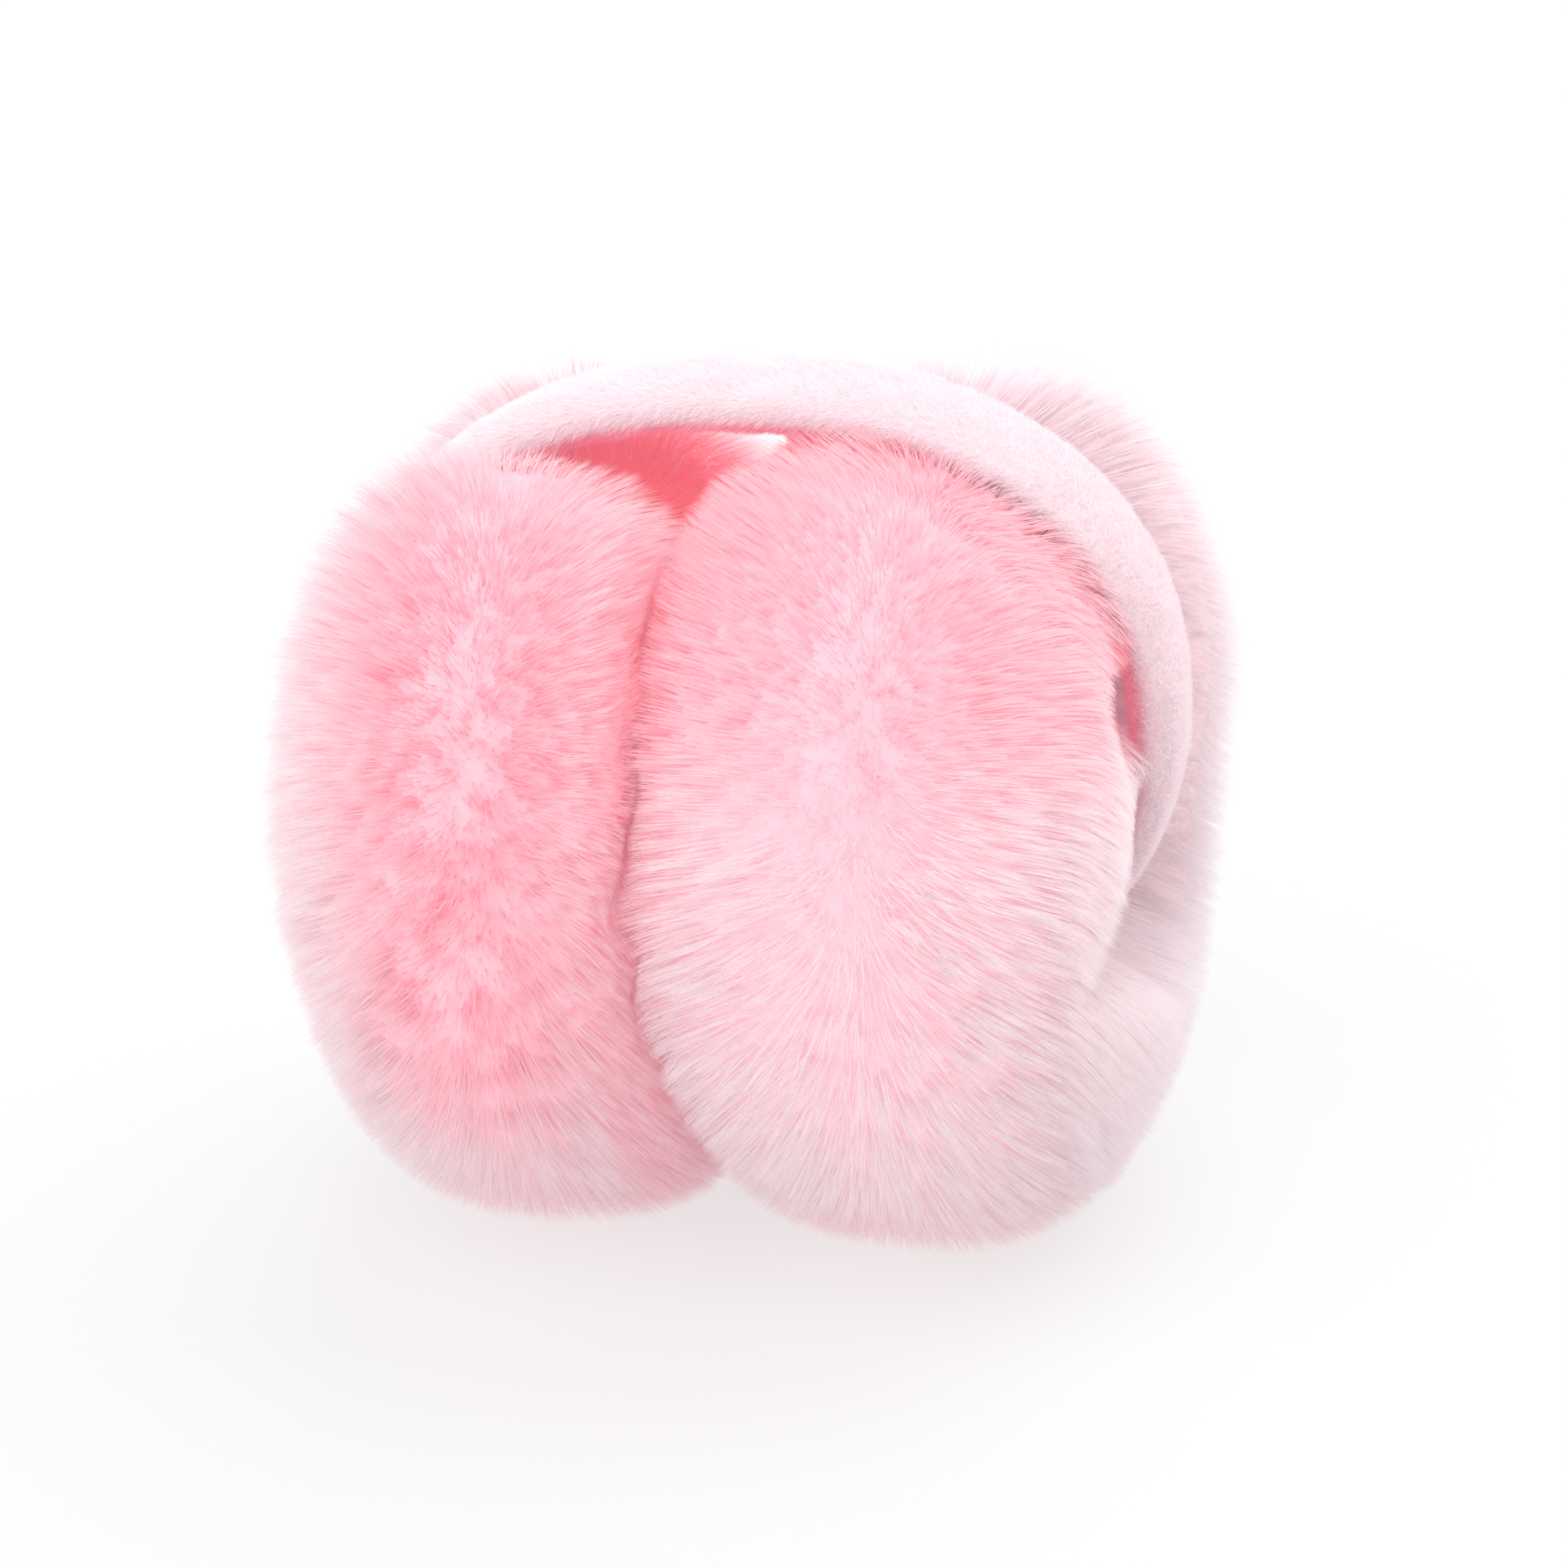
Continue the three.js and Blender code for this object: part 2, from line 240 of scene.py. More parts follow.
def groove_limit(p, side):
    """How far outside the band's middle line the fur may reach."""
    y, z = p[:, 1], p[:, 2]
    across = np.minimum(np.abs(y) / (BAND_WIDTH / 2), 1)
    under = -BAND_THICKNESS / 2 * (1 - across**BAND_SECTION_ROUNDNESS) ** (1 / BAND_SECTION_ROUNDNESS)
    beyond = np.maximum(0, np.abs(y) - BAND_WIDTH / 2)
    lip = np.exp(-((beyond / GROOVE_LIP_REACH) ** 2))
    lip *= 1 + GROOVE_LIP_TOP_SHARE * smoothstep(z, *GROOVE_LIP_TOP_Z)
    front = GROOVE_FRONT_SLOPE[side] * beyond - GROOVE_EDGE_LEVEL + GROOVE_LIP * lip
    if side == "right":
        above = smoothstep(z, FRONT_SWELL_Z, FRONT_SWELL_Z + FRONT_SWELL_FADE)
        swell = FRONT_SWELL * np.sqrt(beyond) - BAND_THICKNESS / 2
        swell = swell + FRONT_FOOT_SLOPE * beyond * smoothstep(FRONT_FOOT_TOP - z, 0, FRONT_FOOT_FADE)
        front = swell + (front - swell) * above
        front = front - SLIT_DEPTH * slit_share(y, z)
    lobe = np.where(y < 0, front, GROOVE_BACK_SLOPE * beyond - GROOVE_EDGE_LEVEL)
    below = np.maximum(0, GROOVE_END_Z - z)
    height = (z - GROOVE_SIDE_Z) / GROOVE_SIDE_REACH
    beneath = under - GROOVE_CLEARANCE - GROOVE_SIDE_DEPTH * np.exp(-(height**2))
    return np.where(across < 1, np.minimum(beneath, lobe), lobe) + GROOVE_END_SLOPE * below


def press(points, inset, side):
    """Presses points of the fur under the band, to inset below the pressed surface."""
    p = points.copy()
    limit = groove_limit(p, side) - inset
    up = p[:, 2] - BAND_SPRING_Z
    high = up > 0
    rise = np.where(high, up, 1.0)
    scale = ((np.abs(p[:, 0]) / BAND_HALF_SPAN) ** BAND_ROUNDNESS
             + (rise / BAND_RISE) ** BAND_ROUNDNESS) ** (1 / BAND_ROUNDNESS)
    radius = np.hypot(p[:, 0], rise) / scale
    shrink = np.minimum(1, (1 + limit / radius) / scale)
    p[:, 0] = np.where(high, p[:, 0] * shrink, np.minimum(p[:, 0], curl_x(p[:, 2]) + limit))
    p[:, 2] = np.where(high, BAND_SPRING_Z + rise * shrink, p[:, 2])
    valley = np.maximum(0, 1 - np.abs(p[:, 0]) / VALLEY_HALF_WIDTH[side])
    near = np.exp(-((p[:, 1] / VALLEY_REACH[side]) ** 2))
    p[:, 2] -= np.where(high, VALLEY_DEPTH[side] * valley * near * np.minimum(1, rise / BAND_RISE), 0)
    return p


def seat(points, above_floor, off_seam, side):
    """Keeps points above the surface that the pads stand on, and on their own side of the seam."""
    p = points.copy()
    seam = SEAM_SHIFT * smoothstep(-p[:, 1], 0, SEAM_FRONT_FADE) * smoothstep(p[:, 2], *SEAM_RISE_Z)
    seam *= 1 - SEAM_TOP_SHARE * smoothstep(p[:, 2], *SEAM_TOP_Z)
    seam += SEAM_RIPPLE * Waves(14, SEAM_RIPPLE_SIZE).value(p * (0, 1, 1))
    low = (seam if side == "right" else -seam) + off_seam
    p[:, 0] = low + SEAM_SOFTNESS * np.logaddexp(0, (p[:, 0] - low) / SEAM_SOFTNESS)
    p[:, 2] = np.maximum(p[:, 2], above_floor)
    return p


# The free form of a pad, about its own middle

def form(latitude, turn, depth):
    """Points at a depth below the tips. Latitude runs from the inner to the outer face, 0 on the rim."""
    axial = bulge(np.sin(latitude), PAD_ROUNDNESS)
    rim = bulge(np.cos(latitude), PAD_ROUNDNESS)
    x = (PAD_HALF_THICKNESS - depth) * axial
    r = (PAD_RADIUS - depth) * rim
    return np.stack([x, r * np.sin(turn), r * np.cos(turn)], -1)


def back_on_form(p, depth):
    """Moves points along their direction from the middle, to a depth below the tips."""
    flat = np.abs(p[:, 0]) / (PAD_HALF_THICKNESS - depth)
    rim = np.hypot(p[:, 1], p[:, 2]) / (PAD_RADIUS - depth)
    scale = (flat**PAD_ROUNDNESS + rim**PAD_ROUNDNESS) ** (1 / PAD_ROUNDNESS)
    return p / scale[:, None]


def place(p, side):
    """From the pad's own middle to the pad's place, with its bulges, its taper and the swell of its back."""
    inner = INNER_BULGE[side] * smoothstep(-p[:, 1], 0, INNER_BULGE_REACH) * smoothstep(p[:, 2], *INNER_BULGE_Z)
    inner = inner * (1 - INNER_BULGE_TOP_SHARE * smoothstep(p[:, 2], *INNER_BULGE_TOP_Z))
    outer = OUTER_BULGE[side] - LOWER_TAPER[side] * smoothstep(p[:, 2], *LOWER_TAPER_Z)
    p = p * np.stack([1 + np.where(p[:, 0] < 0, inner, outer), 1 + 0 * inner, 1 + 0 * inner], -1)
    swell = BACK_SWELL[side] * smoothstep(p[:, 1], *BACK_SWELL_Y) * smoothstep(p[:, 2], *BACK_SWELL_Z)
    p = p + unit(p * (1, 0, 1)) * swell[:, None]
    c, s = math.cos(PAD_TOE_IN), math.sin(PAD_TOE_IN)
    return np.stack([p[:, 0] * c + p[:, 1] * s + PAD_CENTRE_X, p[:, 1] * c - p[:, 0] * s,
                     p[:, 2] + PAD_CENTRE_Z], -1)


def spread(count, rng):
    """Latitudes and turns that cover the pad evenly, with fewer on its hidden inner face."""
    table = np.linspace(-math.pi / 2, math.pi / 2, 721)
    line = form(table, 0 * table, 0)
    step = np.linalg.norm(np.diff(line, axis=0), axis=1)
    middle = (table[1:] + table[:-1]) / 2
    rim = (line[1:, 2] + line[:-1, 2]) / 2
    share = step * rim * (INNER_FACE_SHARE + (1 - INNER_FACE_SHARE) * smoothstep(middle, -1.1, -0.6))
    total = np.concatenate([[0], np.cumsum(share)])
    at = (np.arange(count) + rng.random(count)) / count * total[-1]
    latitude = np.interp(at, total, table)
    turn = np.arange(count) * math.pi * (3 - math.sqrt(5)) + rng.normal(0, 0.02, count)
    return latitude, turn


class Waves:
    """A smooth random field in space: a sum of sine waves, with its slope."""

    def __init__(self, seed, size, count=22):
        rng = np.random.default_rng(seed)
        self.number = 2 * math.pi / size
        self.k = unit(rng.normal(size=(count, 3))) * self.number * rng.uniform(0.6, 1.3, (count, 1))
        self.phase = rng.uniform(0, 2 * math.pi, count)
        self.gain = math.sqrt(2 / count)

    def value(self, p):
        return np.sin(p @ self.k.T + self.phase).sum(1) * self.gain

    def slope(self, p):
        return np.cos(p @ self.k.T + self.phase) @ self.k * (self.gain / self.number)


def tip_shift(tip, outward, latitude, turn, side, rng):
    """How far each hair's tip lies from straight above its root."""
    radial = np.stack([0 * turn, np.sin(turn), np.cos(turn)], -1)
    along = np.stack([np.cos(latitude), 0 * turn, 0 * turn], -1) - radial * np.sin(latitude)[:, None]
    around = np.stack([0 * turn, np.cos(turn), -np.sin(turn)], -1)
    off_parting = tip[:, 0] - PARTING_X[side]

    # Away from the parting along the rim's middle, and round towards the whorl
    splay = HAIR_SPLAY * np.tanh(off_parting / 8) * np.cos(latitude)
    flow = HAIR_FLOW * np.sin(turn - WHORL_TURN) * np.cos(latitude)
    shift = along * splay[:, None] + around * flow[:, None]

    # Together in wisps, locks and tufts, which are shaggy round the whorl
    shaggy = np.exp(-((off_parting / 16) ** 2)) * smoothstep(-tip[:, 1], 15, 40)
    shaggy *= smoothstep(45 - tip[:, 2], 0, 25)
    shaggy *= smoothstep(tip[:, 2], -50, -20)
    pull = LOCK_PULL * (0.35 + SHAGGY[side] * shaggy)
    wisp = Waves(16, WISP_SIZE).slope(tip)
    lock = Waves(11, LOCK_SIZE).slope(tip)
    tuft = Waves(12, TUFT_SIZE).slope(tip)
    shift += wisp * WISP_PULL + (lock + tuft * TUFT_PULL) * pull[:, None]
    stray = 0.4 + 0.9 * np.exp(-((off_parting / 10) ** 2))
    shift += rng.normal(0, 1, tip.shape) * stray[:, None]

    # To the side at the front, down under gravity, and combed down beside the slit
    shift[:, 0] += HAIR_COMB * (1 if side == "right" else -1) * smoothstep(-tip[:, 1], 0, 40)
    outer = smoothstep(np.abs(latitude), 0.45, 1.0)
    shift[:, 2] -= HAIR_DROOP * np.hypot(outward[:, 0], outward[:, 1]) * (1 + 3 * outer)
    combed = front_of_outer_face(tip, latitude, side)
    return shift * (1 - 0.5 * combed[:, None]) - np.array([0, 0, SIDE_DROOP]) * combed[:, None]


def front_of_outer_face(tip, latitude, side):
    """Share of the smooth fur in front of the band on the right-hand pad's outer face."""
    return smoothstep(latitude, 0.45, 0.75) * smoothstep(-tip[:, 1], 5, 15) * (side == "right")


def shortness(tip, latitude, side, rng):
    """How far each hair ends below the outer form."""
    short = rng.exponential(0.28, len(tip)).clip(0, 1) * HAIR_SHORTEST
    short += 0.35 * Waves(13, 9.0).value(tip) + 0.2
    calm = front_of_outer_face(tip, latitude, side)
    calm *= smoothstep(28 - tip[:, 2], 0, 8) * smoothstep(tip[:, 2], -30, -15)
    short *= 1 - 0.4 * smoothstep(-tip[:, 2], 5, 35)
    short *= 1 - 0.8 * calm
    return short * (1 - 0.55 * smoothstep(tip[:, 1], -5, 20))


def paleness_with_painted_sheen(tip, latitude, whorl, side):
    """Share of the pale colour in each hair: more behind, below and on the outer face, as painted sheen; less
    at the whorl, as painted shade, and less on top.
    """
    pale = 0.62 + 0.3 * smoothstep(tip[:, 1], -20, 20)
    pale += 0.15 * smoothstep(np.abs(latitude), 0.45, 1.0) + 0.15 * smoothstep(-tip[:, 2], 5, 35)
    # Painted shade at the whorl, where the hairs part: less pale there
    pale -= PAINTED_WHORL_SHADE[side] * whorl
    return pale - TOP_SHADE[side] * smoothstep(tip[:, 2], 12, 42) * smoothstep(-tip[:, 1], 0, 25)


def painted_shade_and_tone_share(points, moved, whorl, streak, side):
    """Share of the deep colour in each hair, from the place of its tip and how far the band pressed it: painted
    shade under the band, in the slit, in the seam's crevice, at the whorl and near the floor, with a deeper
    tone on the top front and in random streaks.
    """
    x, y, z = points.T
    # Painted shade under the band, where the band presses the fur
    pressed = smoothstep(moved, 1, 4)
    painted_shade_and_tone = pressed * smoothstep(y, -18, -13) * smoothstep(30 - y, 0, 10)
    painted_shade_and_tone *= smoothstep(z, 80, 92) * smoothstep(PAINTED_UNDER_BAND_SHADE_X[side] - x, 0, 12)
    # Painted shade on the lowest fur, near the floor
    painted_shade_and_tone += PAINTED_FLOOR_SHADE * smoothstep(PAINTED_FLOOR_SHADE_Z - z, 0, PAINTED_FLOOR_SHADE_Z)
    if side == "right":
        # Painted shade in the open slit and in the pressed fur beside it
        painted_slit_shade = (1.5 * slit_share(y, z)).clip(0, 1) * smoothstep(33 + y, 0, 8)
        painted_shade_beside_slit = pressed * (y > -16) * smoothstep(2 - y, 0, 6)
        painted_shade_beside_slit *= smoothstep(z, 66, 72) * smoothstep(96 - z, 0, 4)
        painted_shade_and_tone = np.maximum(painted_shade_and_tone, np.maximum(painted_slit_shade, painted_shade_beside_slit))
    # Painted shade in the crevice at the seam between the pads
    off_seam = x - (1 if side == "right" else -1) * SEAM_SHIFT
    painted_shade_and_tone += PAINTED_SEAM_SHADE * smoothstep(PAINTED_SEAM_SHADE_REACH - off_seam, 0, 1.6) * smoothstep(-y, 20, 35)
    painted_shade_and_tone += TOP_DEPTH[side] * smoothstep(z, 70, 105) * smoothstep(-y, 5, 25)
    # Painted shade at the whorl, and a deeper tone in random streaks
    painted_shade_and_tone += PAINTED_WHORL_DEPTH[side] * whorl + STREAKS[side] * streak.clip(0, 2) * (y < 0)
    return painted_shade_and_tone.clip(0, 1)


def pad_hairs(count, seed, side):
    """Three points along each hair of a pad as a right-hand one, its width, its shades and its direction."""
    rng = np.random.default_rng(seed)
    latitude, turn = spread(count, rng)
    tip = form(latitude, turn, 0)
    root = form(latitude, turn, HAIR_DEPTH)
    outward = unit(tip - root)
    shift = tip_shift(tip, outward, latitude, turn, side, rng)
    short = shortness(tip, latitude, side, rng)
    whorl = np.exp(-(((tip[:, 0] - PARTING_X[side]) / WHORL_WIDTH) ** 2))
    whorl *= smoothstep(-tip[:, 1], 20, 50) * smoothstep(tip[:, 2], -50, -10)
    pale = paleness_with_painted_sheen(tip, latitude, whorl, side)
    tip = back_on_form(tip + shift, 0) - outward * short[:, None]
    bend = root + (tip - root) * 0.5 + outward * HAIR_ARCH - shift * 0.15

    # Root, bend and tip: how deep they lie under the band, above the surface below and off the seam
    free = [place(p, side) for p in (root, bend, tip)]
    tip_inset = short.clip(0, 3) * 0.35
    places = zip(free, (ROOT_INSET, BEND_INSET, tip_inset), (2.1, 1.02, 0.372), (3.0, 1.2, 0.12))
    points = [seat(press(p, inset, side), lift, gap, side) for p, inset, lift, gap in places]
    width = HAIR_WIDTH * rng.uniform(0.65, 1.35, count)
    streak = Waves(17, STREAK_SIZE).value(free[2])
    tint = pale + STRAY_TINT[side] * rng.normal(size=count) - STREAKS[side] * streak
    moved = np.linalg.norm(points[2] - free[2], axis=1)
    shades = np.stack([tint.clip(0, 1), painted_shade_and_tone_share(points[2], moved, whorl, streak, side)], -1)
    return np.stack(points, 1), width, shades, outward


def ribbons(name, points, width, shades, facing, seed, material, mirror=False):
    """One mesh of tapered flat hairs. points is hairs x steps x 3, in millimetres."""
    rng = np.random.default_rng(seed)
    count, steps, _ = points.shape
    if mirror:
        points = points * (-1, 1, 1)
        facing = facing * (-1, 1, 1)
    along = unit(np.diff(points, axis=1))
    along = np.concatenate([along, along[:, -1:]], 1)
    face = unit(facing + FACING_SPREAD * rng.normal(size=facing.shape))
    side = unit(np.cross(along, face[:, None, :]))
    taper = np.interp(np.arange(steps - 1) / (steps - 1), (0, 0.5, 1), (0.9, 1.0, 0.5))
    half = side[:, :-1] * (width[:, None, None] * taper[None, :, None] / 2)
    pairs = np.stack([points[:, :-1] - half, points[:, :-1] + half], 2).reshape(count, -1, 3)
    verts = np.concatenate([pairs, points[:, -1:]], 1)
    a_hair = verts.shape[1]

    loops = []
    starts = []
    for i in range(steps - 2):
        starts.append(len(loops))
        loops += [2 * i, 2 * i + 1, 2 * i + 3, 2 * i + 2]
    starts.append(len(loops))
    loops += [a_hair - 3, a_hair - 2, a_hair - 1]
    base = np.arange(count)[:, None]
    loop_index = (base * a_hair + np.array(loops)).ravel()
    loop_start = (base * len(loops) + np.array(starts)).ravel()

    length = np.linspace(0, 1, steps)
    share = np.concatenate([np.repeat(length[:-1], 2), length[-1:]])
    colour = np.ones((count, a_hair, 4), np.float32)
    colour[:, :, 0] = share
    colour[:, :, 1:3] = shades[:, None, :]
    return mesh_piece(name, verts.reshape(-1, 3), loop_index, loop_start, colour.reshape(-1, 4), material)


def mesh_piece(name, verts, loop_index, loop_start, colour, material):
    """A Blender object from arrays, in millimetres."""
    mesh = bpy.data.meshes.new(name)
    mesh.vertices.add(len(verts))
    mesh.vertices.foreach_set("co", (verts * MM).astype(np.float32).ravel())
    mesh.loops.add(len(loop_index))
    mesh.loops.foreach_set("vertex_index", loop_index.astype(np.int32))
    mesh.polygons.add(len(loop_start))
    mesh.polygons.foreach_set("loop_start", loop_start.astype(np.int32))
    mesh.polygons.foreach_set("use_smooth", np.ones(len(loop_start), bool))
    mesh.update(calc_edges=True)
    if colour is not None:
        mesh.attributes.new("strand", "FLOAT_COLOR", "POINT").data.foreach_set("color", colour.ravel())
    mesh.materials.append(material)
    piece = bpy.data.objects.new(name, mesh)
    bpy.context.scene.collection.objects.link(piece)
    return piece


def grid_piece(name, rings, material, closed_ends):
    """A closed surface through rings of points, in millimetres."""
    count, sides, _ = rings.shape
    i, j = np.meshgrid(np.arange(count - 1), np.arange(sides), indexing="ij")
    k = (j + 1) % sides
    quads = np.stack([i * sides + j, i * sides + k, (i + 1) * sides + k, (i + 1) * sides + j], -1)
    loops = quads.reshape(-1)
    starts = np.arange(0, len(loops), 4)
    if closed_ends:
        caps = np.concatenate([np.arange(sides)[::-1], (count - 1) * sides + np.arange(sides)])
        starts = np.concatenate([starts, len(loops) + np.array([0, sides])])
        loops = np.concatenate([loops, caps])
    return mesh_piece(name, rings.reshape(-1, 3), loops, starts, None, material)


# Materials

def new_material(name):
    material = bpy.data.materials.new(name)
    material.use_nodes = True
    material.node_tree.nodes.clear()
    return material, material.node_tree.nodes, material.node_tree.links


def ramp_node(nodes, stops):
    ramp = nodes.new("ShaderNodeValToRGB")
    ramp.color_ramp.interpolation = "B_SPLINE"
    first, last = ramp.color_ramp.elements
    first.position, first.color = stops[0][0], (*stops[0][1], 1)
    last.position, last.color = stops[-1][0], (*stops[-1][1], 1)
    for position, colour in stops[1:-1]:
        ramp.color_ramp.elements.new(position).color = (*colour, 1)
    return ramp


def mixed(nodes, links, base, other, share=None, blend="MIX"):
    """Mixes a colour with another, which is a socket or a fixed colour."""
    mix = nodes.new("ShaderNodeMix")
    mix.data_type = "RGBA"
    mix.blend_type = blend
    mix.inputs["Factor"].default_value = 1.0
    links.new(base, mix.inputs["A"])
    if share is not None:
        links.new(share, mix.inputs["Factor"])
    if isinstance(other, tuple):
        mix.inputs["B"].default_value = (*other, 1)
    else:
        links.new(other, mix.inputs["B"])
    return mix.outputs["Result"]


def place_range(nodes, links, axis, places, shares):
    """A share that runs from one value to another between two places along an axis, in millimetres."""
    place_node = nodes.new("ShaderNodeTexCoord")
    parts = nodes.new("ShaderNodeSeparateXYZ")
    links.new(place_node.outputs["Object"], parts.inputs["Vector"])
    share = nodes.new("ShaderNodeMapRange")
    share.inputs["From Min"].default_value = places[0] * MM
    share.inputs["From Max"].default_value = places[1] * MM
    share.inputs["To Min"].default_value, share.inputs["To Max"].default_value = shares
    links.new(parts.outputs[axis], share.inputs["Value"])
    return share.outputs["Result"]


def hair_material(name, stops, pale, painted_shade_and_tone, through, roughness, sheen, painted_glow):
    """Root-to-tip colour, deeper at the root as painted shade in the depth of the fur; paler hairs as painted
    sheen, deeper hairs as painted shade with a deeper tone in streaks; painted shade on the low parts; a
    painted glow; and light that passes through.
    """
    material, nodes, links = new_material(name)
    strand = nodes.new("ShaderNodeAttribute")
    strand.attribute_name = "strand"
    parts = nodes.new("ShaderNodeSeparateColor")
    links.new(strand.outputs["Color"], parts.inputs["Color"])
    ramp = ramp_node(nodes, stops)
    links.new(parts.outputs["Red"], ramp.inputs["Fac"])

    colour = mixed(nodes, links, ramp.outputs["Color"], pale, parts.outputs["Green"])
    colour = mixed(nodes, links, colour, painted_shade_and_tone, parts.outputs["Blue"], "MULTIPLY")

    # Painted shade: duller and greyer towards the floor
    low = place_range(nodes, links, "Z", (0, PAINTED_LOW_SHADE_TOP_Z), (PAINTED_LOW_SHADE_SHARE, 0))
    colour = mixed(nodes, links, colour, PAINTED_LOW_SHADE_COLOUR, low)

    surface = nodes.new("ShaderNodeBsdfPrincipled")
    surface.inputs["Roughness"].default_value = roughness
    surface.inputs["Specular IOR Level"].default_value = 0.35
    surface.inputs["Sheen Weight"].default_value = sheen
    surface.inputs["Sheen Roughness"].default_value = 0.5
    links.new(colour, surface.inputs["Base Color"])
    # Painted glow: emission in the deep colour, stronger where the painted shade is, standing in for light
    # bounced inside the fur
    material.cycles.emission_sampling = "NONE"
    surface.inputs["Emission Color"].default_value = (*painted_shade_and_tone, 1)
    inner = nodes.new("ShaderNodeMath")
    inner.operation = "MULTIPLY_ADD"
    inner.inputs[1].default_value = painted_glow
    inner.inputs[2].default_value = PAINTED_HAIR_GLOW
    links.new(parts.outputs["Blue"], inner.inputs[0])
    links.new(inner.outputs["Value"], surface.inputs["Emission Strength"])
    glow = nodes.new("ShaderNodeBsdfTranslucent")
    links.new(colour, glow.inputs["Color"])
    mix = nodes.new("ShaderNodeMixShader")
    mix.inputs["Fac"].default_value = through
    links.new(surface.outputs["BSDF"], mix.inputs[1])
    links.new(glow.outputs["BSDF"], mix.inputs[2])
    out = nodes.new("ShaderNodeOutputMaterial")
    links.new(mix.outputs["Shader"], out.inputs["Surface"])
    return material


def base_material(name, low, high, pale, scale, bump, painted_glow):
    """A backing that shows between the hairs: mottled, matt and rough, with a paler back as painted light and a
    painted glow.
    """
    material, nodes, links = new_material(name)
    place_node = nodes.new("ShaderNodeTexCoord")
    noise = nodes.new("ShaderNodeTexNoise")
    noise.inputs["Scale"].default_value = scale
    noise.inputs["Detail"].default_value = 4
    links.new(place_node.outputs["Object"], noise.inputs["Vector"])
    ramp = ramp_node(nodes, ((0.3, low), (0.7, high)))
    links.new(noise.outputs["Fac"], ramp.inputs["Fac"])
    surface = nodes.new("ShaderNodeBsdfPrincipled")
    surface.inputs["Roughness"].default_value = 0.95
    surface.inputs["Specular IOR Level"].default_value = 0.1
    # Painted light: paler towards the back
    behind = place_range(nodes, links, "Y", PAINTED_PALE_BACK_Y, (0, 1))
    colour = mixed(nodes, links, ramp.outputs["Color"], pale, behind)
    links.new(colour, surface.inputs["Base Color"])
    # Painted glow of the backing
    material.cycles.emission_sampling = "NONE"
    surface.inputs["Emission Color"].default_value = (*PAINTED_BACKING_GLOW, 1)
    surface.inputs["Emission Strength"].default_value = painted_glow
    relief = nodes.new("ShaderNodeBump")
    relief.inputs["Strength"].default_value = bump
    relief.inputs["Distance"].default_value = 0.001
    links.new(noise.outputs["Fac"], relief.inputs["Height"])
    links.new(relief.outputs["Normal"], surface.inputs["Normal"])
    out = nodes.new("ShaderNodeOutputMaterial")
    links.new(surface.outputs["BSDF"], out.inputs["Surface"])
    return material


# Deeper pink towards the roots is painted shade in the depth of the fur
fur = hair_material(
    "fur_hair",
    ((0.0, (0.97, 0.62, 0.69)), (0.5, (0.975, 0.815, 0.855)), (1.0, (0.98, 0.915, 0.935))),
    pale=(0.985, 0.965, 0.975), painted_shade_and_tone=(0.98, 0.50, 0.57), through=0.42, roughness=0.5, sheen=0.3,
    painted_glow=0.12,
)
pile = hair_material(
    "band_pile",
    ((0.0, (0.95, 0.78, 0.82)), (0.5, (0.97, 0.885, 0.91)), (1.0, (0.98, 0.94, 0.955))),
    pale=(0.98, 0.95, 0.96), painted_shade_and_tone=(1.0, 0.6, 0.7), through=0.35, roughness=0.6, sheen=0.3,
    painted_glow=0.1,
)
# The backing's deep pink is painted shade inside the fur
fur_backing = base_material(
    "fur_backing", low=(0.96, 0.57, 0.65), high=(0.98, 0.67, 0.73), pale=(0.98, 0.86, 0.89),
    scale=400, bump=0.6, painted_glow=0.16,
)
band_backing = base_material(
    "band_backing", low=(0.93, 0.79, 0.83), high=(0.95, 0.84, 0.87), pale=(0.95, 0.84, 0.87),
    scale=600, bump=0.5, painted_glow=0.0,
)


# Pads

def core_rings(side):
    """Surface of the fur's dense inner part."""
    latitude = np.linspace(-math.pi / 2, math.pi / 2, 73)[1:-1]
    turn = np.linspace(0, 2 * math.pi, 145)[:-1]
    latitude, turn = np.meshgrid(latitude, turn, indexing="ij")
    p = place(form(latitude.ravel(), turn.ravel(), CORE_DEPTH), side)
    p = seat(press(p, CORE_INSET, side), 1.2, 1.5, side)
    return p.reshape(*latitude.shape, 3)


def dress(piece, node):
    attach(piece, "root")
    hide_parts(node)
    return piece


for side, mirror in (("right", False), ("left", True)):
    node = "ear_pad_" + side
    core = core_rings(side)
    rings = core[::-1] * (-1, 1, 1) if mirror else core
    backing = grid_piece("pad_backing_" + side, rings, fur_backing, True)
    dress(backing, node)
    for number in range(PIECES_A_PAD):
        seed = 100 + 10 * mirror + number
        points, width, shades, facing = pad_hairs(HAIRS_A_PIECE, seed, side)
        hairs = ribbons(f"pad_fur_{side}_{number + 1}", points, width, shades, facing, seed + 5, fur, mirror)
        dress(hairs, node)


# Band

def band_frame(line):
    """Direction along, direction outward, and size factors at each point of the band's middle line."""
    step = np.gradient(line, axis=0)
    along = unit(step)
    outward = np.stack([-along[:, 1], along[:, 0]], -1)
    curled = np.clip((BAND_SPRING_Z - line[:, 1]) / BAND_CURL_RADIUS, 0, 1)
    width = BAND_WIDTH / 2 * (1 - (1 - BAND_END_WIDTH) * curled)
    thickness = BAND_THICKNESS / 2 * (1 - (1 - BAND_END_THICKNESS) * curled)
    return along, outward, width, thickness


